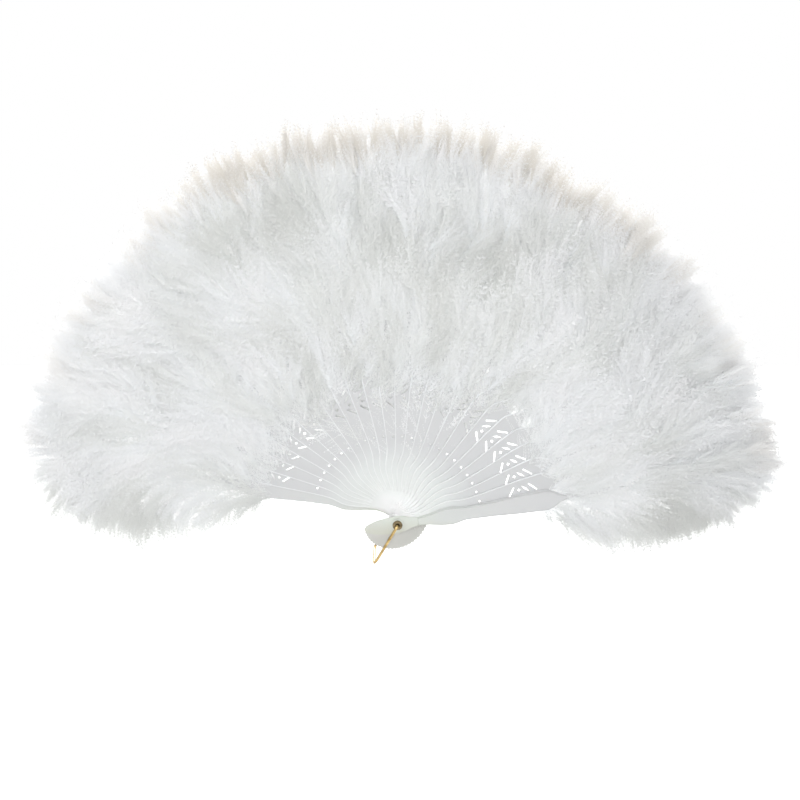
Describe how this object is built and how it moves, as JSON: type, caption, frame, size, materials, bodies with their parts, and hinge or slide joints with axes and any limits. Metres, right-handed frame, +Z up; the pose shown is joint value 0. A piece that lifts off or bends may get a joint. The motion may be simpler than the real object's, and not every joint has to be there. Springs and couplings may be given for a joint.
{
  "type": "folding feather fan",
  "caption": "Folding hand fan with pierced white staves on a hollow rivet, a fluffy white feather plume on each stave and a brass wire loop that hangs from the rivet.",
  "frame": {"origin": "on the rivet's axis, in the middle of the stack of staves", "axes": "+Z up through the middle of the open fan, +X towards the front guard's side, -Y out of the fan's front; the rivet's axis is Y"},
  "size_m": [0.4584, 0.0542, 0.2697],
  "materials": {
    "stave_plastic": "moulded translucent white",
    "guard_plastic": "moulded translucent white",
    "feather": "downy white feather",
    "rivet_brass": "polished",
    "loop_brass": "polished"
  },
  "bodies": {
    "front_guard": {"front_guard": "guard_plastic", "front_guard_plume": "feather", "rivet": "rivet_brass", "front_washer": "guard_plastic", "back_washer": "guard_plastic"},
    "stave_01": {"stave_01": "stave_plastic", "stave_01_plume": "feather"},
    "stave_02": {"stave_02": "stave_plastic", "stave_02_plume": "feather"},
    "stave_03": {"stave_03": "stave_plastic", "stave_03_plume": "feather"},
    "stave_04": {"stave_04": "stave_plastic", "stave_04_plume": "feather"},
    "stave_05": {"stave_05": "stave_plastic", "stave_05_plume": "feather"},
    "stave_06": {"stave_06": "stave_plastic", "stave_06_plume": "feather"},
    "stave_07": {"stave_07": "stave_plastic", "stave_07_plume": "feather"},
    "stave_08": {"stave_08": "stave_plastic", "stave_08_plume": "feather"},
    "stave_09": {"stave_09": "stave_plastic", "stave_09_plume": "feather"},
    "stave_10": {"stave_10": "stave_plastic", "stave_10_plume": "feather"},
    "stave_11": {"stave_11": "stave_plastic", "stave_11_plume": "feather"},
    "stave_12": {"stave_12": "stave_plastic", "stave_12_plume": "feather"},
    "stave_13": {"stave_13": "stave_plastic", "stave_13_plume": "feather"},
    "stave_14": {"stave_14": "stave_plastic", "stave_14_plume": "feather"},
    "stave_15": {"stave_15": "stave_plastic", "stave_15_plume": "feather"},
    "stave_16": {"stave_16": "stave_plastic", "stave_16_plume": "feather"},
    "stave_17": {"stave_17": "stave_plastic", "stave_17_plume": "feather"},
    "stave_18": {"stave_18": "stave_plastic", "stave_18_plume": "feather"},
    "stave_19": {"stave_19": "stave_plastic", "stave_19_plume": "feather"},
    "stave_20": {"stave_20": "stave_plastic", "stave_20_plume": "feather"},
    "stave_21": {"stave_21": "stave_plastic", "stave_21_plume": "feather"},
    "stave_22": {"stave_22": "stave_plastic", "stave_22_plume": "feather"},
    "stave_23": {"stave_23": "stave_plastic", "stave_23_plume": "feather"},
    "stave_24": {"stave_24": "stave_plastic", "stave_24_plume": "feather"},
    "back_guard": {"back_guard": "guard_plastic", "back_guard_plume": "feather"},
    "wire_loop": {"wire_loop": "loop_brass"}
  },
  "joints": [
    {"name": "stave_01_turn", "type": "hinge", "parent": "front_guard", "child": "stave_01", "pos_m": [0, 0, 0], "axis": [0, 1, 0], "range_deg": [0, 6.41]},
    {"name": "stave_02_turn", "type": "hinge", "parent": "front_guard", "child": "stave_02", "pos_m": [0, 0, 0], "axis": [0, 1, 0], "range_deg": [0, 12.81]},
    {"name": "stave_03_turn", "type": "hinge", "parent": "front_guard", "child": "stave_03", "pos_m": [0, 0, 0], "axis": [0, 1, 0], "range_deg": [0, 19.21]},
    {"name": "stave_04_turn", "type": "hinge", "parent": "front_guard", "child": "stave_04", "pos_m": [0, 0, 0], "axis": [0, 1, 0], "range_deg": [0, 25.61]},
    {"name": "stave_05_turn", "type": "hinge", "parent": "front_guard", "child": "stave_05", "pos_m": [0, 0, 0], "axis": [0, 1, 0], "range_deg": [0, 32.01]},
    {"name": "stave_06_turn", "type": "hinge", "parent": "front_guard", "child": "stave_06", "pos_m": [0, 0, 0], "axis": [0, 1, 0], "range_deg": [0, 38.41]},
    {"name": "stave_07_turn", "type": "hinge", "parent": "front_guard", "child": "stave_07", "pos_m": [0, 0, 0], "axis": [0, 1, 0], "range_deg": [0, 44.81]},
    {"name": "stave_08_turn", "type": "hinge", "parent": "front_guard", "child": "stave_08", "pos_m": [0, 0, 0], "axis": [0, 1, 0], "range_deg": [0, 51.21]},
    {"name": "stave_09_turn", "type": "hinge", "parent": "front_guard", "child": "stave_09", "pos_m": [0, 0, 0], "axis": [0, 1, 0], "range_deg": [0, 57.61]},
    {"name": "stave_10_turn", "type": "hinge", "parent": "front_guard", "child": "stave_10", "pos_m": [0, 0, 0], "axis": [0, 1, 0], "range_deg": [0, 64.01]},
    {"name": "stave_11_turn", "type": "hinge", "parent": "front_guard", "child": "stave_11", "pos_m": [0, 0, 0], "axis": [0, 1, 0], "range_deg": [0, 70.41]},
    {"name": "stave_12_turn", "type": "hinge", "parent": "front_guard", "child": "stave_12", "pos_m": [0, 0, 0], "axis": [0, 1, 0], "range_deg": [0, 76.81]},
    {"name": "stave_13_turn", "type": "hinge", "parent": "front_guard", "child": "stave_13", "pos_m": [0, 0, 0], "axis": [0, 1, 0], "range_deg": [0, 83.21]},
    {"name": "stave_14_turn", "type": "hinge", "parent": "front_guard", "child": "stave_14", "pos_m": [0, 0, 0], "axis": [0, 1, 0], "range_deg": [0, 89.61]},
    {"name": "stave_15_turn", "type": "hinge", "parent": "front_guard", "child": "stave_15", "pos_m": [0, 0, 0], "axis": [0, 1, 0], "range_deg": [0, 96.01]},
    {"name": "stave_16_turn", "type": "hinge", "parent": "front_guard", "child": "stave_16", "pos_m": [0, 0, 0], "axis": [0, 1, 0], "range_deg": [0, 102.41]},
    {"name": "stave_17_turn", "type": "hinge", "parent": "front_guard", "child": "stave_17", "pos_m": [0, 0, 0], "axis": [0, 1, 0], "range_deg": [0, 108.81]},
    {"name": "stave_18_turn", "type": "hinge", "parent": "front_guard", "child": "stave_18", "pos_m": [0, 0, 0], "axis": [0, 1, 0], "range_deg": [0, 115.21]},
    {"name": "stave_19_turn", "type": "hinge", "parent": "front_guard", "child": "stave_19", "pos_m": [0, 0, 0], "axis": [0, 1, 0], "range_deg": [0, 121.61]},
    {"name": "stave_20_turn", "type": "hinge", "parent": "front_guard", "child": "stave_20", "pos_m": [0, 0, 0], "axis": [0, 1, 0], "range_deg": [0, 128.01]},
    {"name": "stave_21_turn", "type": "hinge", "parent": "front_guard", "child": "stave_21", "pos_m": [0, 0, 0], "axis": [0, 1, 0], "range_deg": [0, 134.41]},
    {"name": "stave_22_turn", "type": "hinge", "parent": "front_guard", "child": "stave_22", "pos_m": [0, 0, 0], "axis": [0, 1, 0], "range_deg": [0, 140.81]},
    {"name": "stave_23_turn", "type": "hinge", "parent": "front_guard", "child": "stave_23", "pos_m": [0, 0, 0], "axis": [0, 1, 0], "range_deg": [0, 147.21]},
    {"name": "stave_24_turn", "type": "hinge", "parent": "front_guard", "child": "stave_24", "pos_m": [0, 0, 0], "axis": [0, 1, 0], "range_deg": [0, 153.61]},
    {"name": "fan_fold", "type": "hinge", "parent": "front_guard", "child": "back_guard", "pos_m": [0, 0, 0], "axis": [0, 1, 0], "range_deg": [0, 160]},
    {"name": "loop_swing", "type": "hinge", "parent": "front_guard", "child": "wire_loop", "pos_m": [0, 0, 0], "axis": [0, 1, 0], "range_deg": [-114, 54]}
  ],
  "couplings": [
    {"joint": "stave_01_turn", "follows": "fan_fold", "ratio": 0.04},
    {"joint": "stave_02_turn", "follows": "fan_fold", "ratio": 0.08},
    {"joint": "stave_03_turn", "follows": "fan_fold", "ratio": 0.12},
    {"joint": "stave_04_turn", "follows": "fan_fold", "ratio": 0.16},
    {"joint": "stave_05_turn", "follows": "fan_fold", "ratio": 0.2},
    {"joint": "stave_06_turn", "follows": "fan_fold", "ratio": 0.24},
    {"joint": "stave_07_turn", "follows": "fan_fold", "ratio": 0.28},
    {"joint": "stave_08_turn", "follows": "fan_fold", "ratio": 0.32},
    {"joint": "stave_09_turn", "follows": "fan_fold", "ratio": 0.36},
    {"joint": "stave_10_turn", "follows": "fan_fold", "ratio": 0.4},
    {"joint": "stave_11_turn", "follows": "fan_fold", "ratio": 0.44},
    {"joint": "stave_12_turn", "follows": "fan_fold", "ratio": 0.48},
    {"joint": "stave_13_turn", "follows": "fan_fold", "ratio": 0.52},
    {"joint": "stave_14_turn", "follows": "fan_fold", "ratio": 0.56},
    {"joint": "stave_15_turn", "follows": "fan_fold", "ratio": 0.6},
    {"joint": "stave_16_turn", "follows": "fan_fold", "ratio": 0.64},
    {"joint": "stave_17_turn", "follows": "fan_fold", "ratio": 0.68},
    {"joint": "stave_18_turn", "follows": "fan_fold", "ratio": 0.72},
    {"joint": "stave_19_turn", "follows": "fan_fold", "ratio": 0.76},
    {"joint": "stave_20_turn", "follows": "fan_fold", "ratio": 0.8},
    {"joint": "stave_21_turn", "follows": "fan_fold", "ratio": 0.84},
    {"joint": "stave_22_turn", "follows": "fan_fold", "ratio": 0.88},
    {"joint": "stave_23_turn", "follows": "fan_fold", "ratio": 0.92},
    {"joint": "stave_24_turn", "follows": "fan_fold", "ratio": 0.96}
  ]
}
